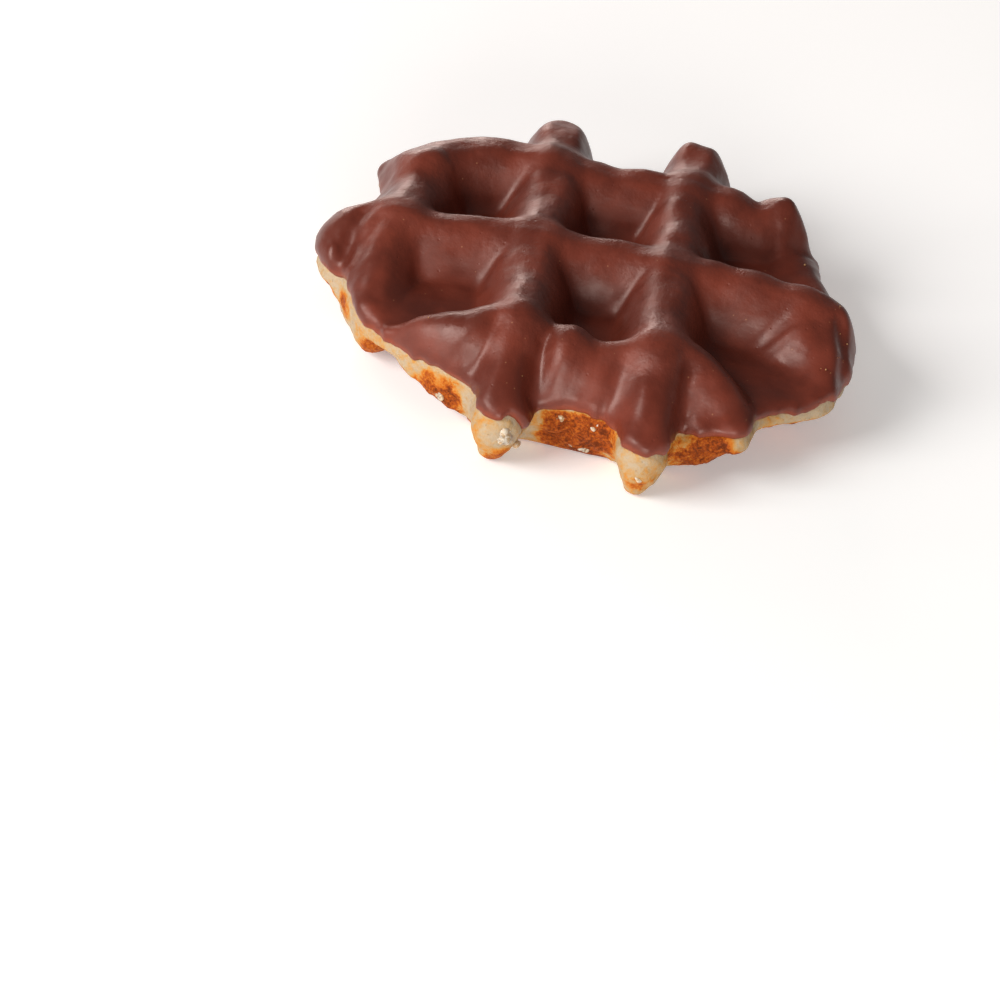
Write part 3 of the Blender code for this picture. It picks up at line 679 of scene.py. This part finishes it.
def stone(centre, size, rng, squash, rounds, lump):
    """One irregular lump: a ball with its corners pushed about by up to the share lump, then squashed."""
    work = bmesh.new()
    bmesh.ops.create_icosphere(work, subdivisions=rounds, radius=1.0)
    points = np.array([vertex.co for vertex in work.verts])
    faces = np.array([[vertex.index for vertex in face.verts] for face in work.faces])
    work.free()
    push = 1 + lumps_at(points + rng.uniform(0, 20, 3), lump, 0.9, int(rng.integers(1000)))
    turn = np.linalg.qr(rng.normal(size=(3, 3)))[0]
    if np.linalg.det(turn) < 0:
        turn[:, 0] = -turn[:, 0]
    return (points * push[:, None] * squash) @ turn * size + centre, faces


def joined(parts):
    """One set of points and faces from several."""
    points, faces, count = [], [], 0
    for some_points, some_faces in parts:
        points.append(some_points)
        faces.append(some_faces + count)
        count += len(some_points)
    return np.vstack(points), np.vstack(faces)


def make_sugar(dough):
    """The crystals of each sugar lump, sunk into the front face."""
    rng = np.random.default_rng(77)
    parts = []
    for x, z, radius in SUGAR:
        y = on_front(dough, x, z)
        for _ in range(1 + int(CRYSTALS_PER_RADIUS * radius)):
            middle = np.array((x, y + CRYSTALS_IN * radius, z))
            centre = middle + rng.normal(size=3) * radius * CRYSTAL_SPREAD
            size = radius * rng.uniform(*CRYSTAL_SIZES)
            centre[2] = max(centre[2], size)
            parts.append(stone(centre, size, rng, CRYSTAL_SHAPE, 3, 0.5))
    points, faces = joined(parts)
    points[:, 2] = np.maximum(points[:, 2], 0.05)
    mesh_piece("pearl_sugar", points, faces, sugar_material())


def make_crumbs(coat):
    """Crumbs stuck along the coat's rim, most of them at its right end."""
    rng = np.random.default_rng(5)
    loop = spline(OUTLINE, 12, closed=True)
    parts = []
    for number in range(CRUMBS):
        x, y = loop[rng.integers(len(loop))] * rng.uniform(*CRUMB_RIM)
        if number % 2:
            x, y = rng.normal(CRUMB_HEAP, CRUMB_HEAP_SPREAD)
        z = coat.plan.read(coat.plan.coat, np.array([x]), np.array([y]))[0]
        point = np.array([[x, y, z]])
        for _ in range(CRUMB_SETTLING):
            step = np.clip(coat.at(point), -CRUMB_REACH, CRUMB_REACH)
            point = point - coat.normals(point) * step[:, None]
        size = CRUMB_SMALLEST + CRUMB_GROWTH * rng.random() ** 3
        parts.append(stone(point[0], size, rng, CRUMB_SHAPE, 1, 0.35))
    points, faces = joined(parts)
    mesh_piece("crumbs", points, faces, crumb_material())


class Nodes:
    """A material's node tree, with short calls for the nodes used here."""

    def __init__(self, name):
        self.material = bpy.data.materials.new(name)
        self.material.use_nodes = True
        self.tree = self.material.node_tree
        self.shader = self.tree.nodes["Principled BSDF"]
        self.place = self.tree.nodes.new("ShaderNodeTexCoord").outputs["Object"]
        split = self.tree.nodes.new("ShaderNodeSeparateXYZ")
        self.link(self.place, split.inputs[0])
        self.height = split.outputs["Z"]

    def link(self, source, target):
        if isinstance(source, (int, float)):
            target.default_value = source
        elif isinstance(source, tuple):
            target.default_value = (*source, 1.0) if len(source) == 3 else source
        else:
            self.tree.links.new(source, target)

    def attribute(self, name):
        node = self.tree.nodes.new("ShaderNodeAttribute")
        node.attribute_name = name
        return node.outputs["Fac"]

    def noise(self, size_mm, detail=3.0, rough=0.55, warp=0.0):
        node = self.tree.nodes.new("ShaderNodeTexNoise")
        node.inputs["Scale"].default_value = 1 / (size_mm * MM)
        node.inputs["Detail"].default_value = detail
        node.inputs["Roughness"].default_value = rough
        node.inputs["Distortion"].default_value = warp
        self.link(self.place, node.inputs["Vector"])
        return node.outputs["Fac"]

    def cells(self, size_mm):
        node = self.tree.nodes.new("ShaderNodeTexVoronoi")
        node.feature = "F1"
        node.inputs["Scale"].default_value = 1 / (size_mm * MM)
        self.link(self.place, node.inputs["Vector"])
        return node.outputs["Distance"]

    def math(self, kind, a, b=0.0):
        node = self.tree.nodes.new("ShaderNodeMath")
        node.operation = kind
        self.link(a, node.inputs[0])
        self.link(b, node.inputs[1])
        return node.outputs[0]

    def span(self, value, low, high, to_low=0.0, to_high=1.0):
        node = self.tree.nodes.new("ShaderNodeMapRange")
        node.interpolation_type = "SMOOTHSTEP"
        for key, number in (("From Min", low), ("From Max", high), ("To Min", to_low), ("To Max", to_high)):
            node.inputs[key].default_value = number
        self.link(value, node.inputs["Value"])
        return node.outputs["Result"]

    def ramp(self, value, stops):
        node = self.tree.nodes.new("ShaderNodeValToRGB")
        marks = node.color_ramp.elements
        while len(marks) < len(stops):
            marks.new(0.5)
        for mark, (place, colour) in zip(marks, stops):
            mark.position = place
            mark.color = (*srgb(*colour), 1.0)
        self.link(value, node.inputs["Fac"])
        return node.outputs["Color"]

    def mix(self, share, a, b):
        node = self.tree.nodes.new("ShaderNodeMix")
        node.data_type = "RGBA"
        node.blend_type = "MIX"
        self.link(share, node.inputs[0])
        self.link(a, node.inputs[6])
        self.link(b, node.inputs[7])
        return node.outputs[2]

    def bump(self, height, depth_mm, below=None):
        node = self.tree.nodes.new("ShaderNodeBump")
        node.inputs["Strength"].default_value = 1.0
        node.inputs["Distance"].default_value = depth_mm * MM
        self.link(height, node.inputs["Height"])
        if below is not None:
            self.link(below, node.inputs["Normal"])
        return node.outputs["Normal"]


def srgb(red, green, blue):
    """Linear colour from display values of 0 to 255."""
    return tuple(((c / 255 + 0.055) / 1.055) ** 2.4 for c in (red, green, blue))


def chocolate_material():
    """Set milk chocolate: a cloudy satin gloss, faint pits, redder where it runs thin."""
    n = Nodes("milk_chocolate")
    cloud = n.noise(11.0, 4.0)
    patch = n.noise(3.4, 4.0)
    base = n.mix(n.span(cloud, 0.36, 0.64), srgb(*CHOCOLATE_DARK), srgb(*CHOCOLATE))
    thin = n.math("ADD", n.attribute("thin"), n.math("MULTIPLY", n.math("SUBTRACT", patch, 0.5), 0.8))
    base = n.mix(n.span(thin, 0.3, 1.1, 0.0, 0.85), base, srgb(*CHOCOLATE_THIN))
    speck = n.span(n.cells(3.1), 0.06, 0.03)
    base = n.mix(n.math("MULTIPLY", speck, 0.3), base, srgb(*CHOCOLATE_SPECK))
    n.link(base, n.shader.inputs["Base Color"])
    crest = n.span(n.height, 16 * MM, 20 * MM, 0.35, 1.0)
    gloss = n.math("ADD", n.span(patch, 0.3, 0.7, 0.34, 0.45), n.span(cloud, 0.3, 0.7, -0.06, 0.04))
    gloss = n.math("ADD", gloss, n.math("MULTIPLY", crest, 0.07))
    n.link(gloss, n.shader.inputs["Roughness"])
    n.shader.inputs["IOR"].default_value = 1.45
    n.shader.inputs["Specular IOR Level"].default_value = 0.5
    n.shader.inputs["Specular Tint"].default_value = (1.0, 0.82, 0.76, 1.0)
    relief = n.bump(n.math("MULTIPLY", n.noise(2.4, 4.0, 0.55), crest), 0.24)
    relief = n.bump(n.noise(0.55, 3.0), 0.014, relief)
    relief = n.bump(n.span(n.cells(2.6), 0.0, 0.12), 0.06, relief)
    n.link(relief, n.shader.inputs["Normal"])
    return n.material


def dough_material():
    """Baked yeast dough: pale and close-grained at the sides, browned and rough where the iron lay."""
    n = Nodes("baked_dough")
    grain = n.noise(1.1, 5.0, 0.65)
    blotch = n.noise(4.5, 4.0, 0.6, 0.5)
    baked = n.attribute("bake")
    brown = n.math("ADD", baked, n.math("MULTIPLY", n.math("SUBTRACT", blotch, 0.5), 0.8))
    fleck = n.noise(0.5, 3.0, 0.7)
    crust_share = n.span(baked, 0.25, 0.6)
    speckled = n.math("MULTIPLY", n.math("SUBTRACT", fleck, 0.5), n.span(crust_share, 0.0, 1.0, 0.15, 1.2))
    brown = n.math("ADD", brown, n.math("MULTIPLY", n.math("SUBTRACT", grain, 0.5), 0.8))
    brown = n.math("ADD", brown, speckled)
    colour = n.ramp(brown, DOUGH_RAMP)
    pores = n.span(n.cells(1.5), 0.02, 0.16)
    pitted = n.math("MULTIPLY", n.span(pores, 0.0, 1.0, 0.3, 0.0), crust_share)
    colour = n.mix(pitted, colour, srgb(*CRUST_PORE))
    n.link(colour, n.shader.inputs["Base Color"])
    n.link(n.span(grain, 0.3, 0.7, 0.46, 0.7), n.shader.inputs["Roughness"])
    n.shader.inputs["IOR"].default_value = 1.42
    n.shader.inputs["Specular IOR Level"].default_value = 0.12
    n.shader.inputs["Subsurface Weight"].default_value = 0.15
    n.shader.inputs["Subsurface Radius"].default_value = (1.0, 0.6, 0.3)
    n.shader.inputs["Subsurface Scale"].default_value = 0.0012
    relief = n.bump(n.noise(2.6, 4.0, 0.6), 0.12)
    rough = n.math("MULTIPLY", grain, n.span(baked, 0.2, 0.6, 0.6, 1.0))
    relief = n.bump(rough, 0.42, relief)
    relief = n.bump(pores, 0.1, relief)
    relief = n.bump(fleck, 0.07, relief)
    n.link(relief, n.shader.inputs["Normal"])
    return n.material


def sugar_material():
    """Half-melted pearl sugar: milky and glassy by turns."""
    n = Nodes("pearl_sugar")
    frost = n.noise(0.8, 4.0, 0.6)
    colour = n.mix(n.span(frost, 0.35, 0.65), srgb(*SUGAR_HONEY), srgb(*SUGAR_WHITE))
    n.link(colour, n.shader.inputs["Base Color"])
    n.link(n.span(frost, 0.3, 0.7, 0.14, 0.4), n.shader.inputs["Roughness"])
    n.shader.inputs["IOR"].default_value = 1.5
    n.shader.inputs["Transmission Weight"].default_value = 0.25
    n.shader.inputs["Subsurface Weight"].default_value = 0.5
    n.shader.inputs["Subsurface Radius"].default_value = (1.0, 0.9, 0.75)
    n.shader.inputs["Subsurface Scale"].default_value = 0.001
    n.link(n.bump(frost, 0.1), n.shader.inputs["Normal"])
    return n.material


def crumb_material():
    """Crumbs of baked dough, from pale to brown."""
    n = Nodes("waffle_crumb")
    tone = n.noise(2.5, 3.0)
    n.link(n.ramp(tone, CRUMB_RAMP), n.shader.inputs["Base Color"])
    n.link(n.span(tone, 0.3, 0.7, 0.5, 0.7), n.shader.inputs["Roughness"])
    n.link(n.bump(n.noise(0.4, 3.0), 0.06), n.shader.inputs["Normal"])
    return n.material


def floor_material():
    """The plain pale ground, faintly lit from within like a light table."""
    n = Nodes("studio_floor")
    tone = n.noise(180.0, 2.0)
    colour = n.mix(n.span(tone, 0.3, 0.7), *(srgb(*values) for values in GROUND_TONES))
    n.link(colour, n.shader.inputs["Base Color"])
    n.link(n.span(tone, 0.3, 0.7, 0.75, 0.85), n.shader.inputs["Roughness"])
    n.link(colour, n.shader.inputs["Emission Color"])
    n.shader.inputs["Emission Strength"].default_value = GROUND_GLOW
    return n.material


def make_stage():
    """The floor, the lights and the camera at the photograph's angle."""
    bpy.ops.mesh.primitive_plane_add(size=GROUND_SIZE, location=(0, 0, -GROUND_GAP))
    floor = bpy.context.object
    floor.name = "studio_floor"
    floor.data.materials.append(floor_material())
    for name, place, size, power, colour in LIGHTS:
        lamp = bpy.data.lights.new(name, "AREA")
        lamp.size = size
        lamp.energy = power
        lamp.color = colour
        holder = bpy.data.objects.new(name, lamp)
        holder.location = place
        holder.rotation_euler = (-Vector(place)).to_track_quat("-Z", "Y").to_euler()
        bpy.context.scene.collection.objects.link(holder)
    world = bpy.data.worlds.new("studio")
    bpy.context.scene.world = world
    world.use_nodes = True
    sky = world.node_tree.nodes["Background"]
    sky.inputs["Color"].default_value = SKY_COLOUR
    sky.inputs["Strength"].default_value = SKY
    lens = bpy.data.cameras.new("photo_camera")
    camera = bpy.data.objects.new("photo_camera", lens)
    bpy.context.scene.collection.objects.link(camera)
    lens.sensor_width = SENSOR
    lens.lens = FOCAL
    lens.clip_start, lens.clip_end = CLIP
    place = (np.array(CAMERA_PLACE) - (*ORIGIN, 0)) * MM
    back = Vector(place - (np.array(CAMERA_AIM) - (*ORIGIN, 0)) * MM).normalized()
    right = Vector((0, 0, 1)).cross(back).normalized()
    up = back.cross(right)
    roll = math.radians(CAMERA_ROLL)
    across = right * math.cos(roll) + up * math.sin(roll)
    upward = up * math.cos(roll) - right * math.sin(roll)
    pose = Matrix((across, upward, back)).transposed().to_4x4()
    pose.translation = Vector(place)
    camera.matrix_world = pose
    bpy.context.scene.camera = camera
    bpy.context.scene.view_settings.view_transform = "Standard"


dough = make_dough()
make_crumbs(make_coat())
make_sugar(dough)
make_stage()
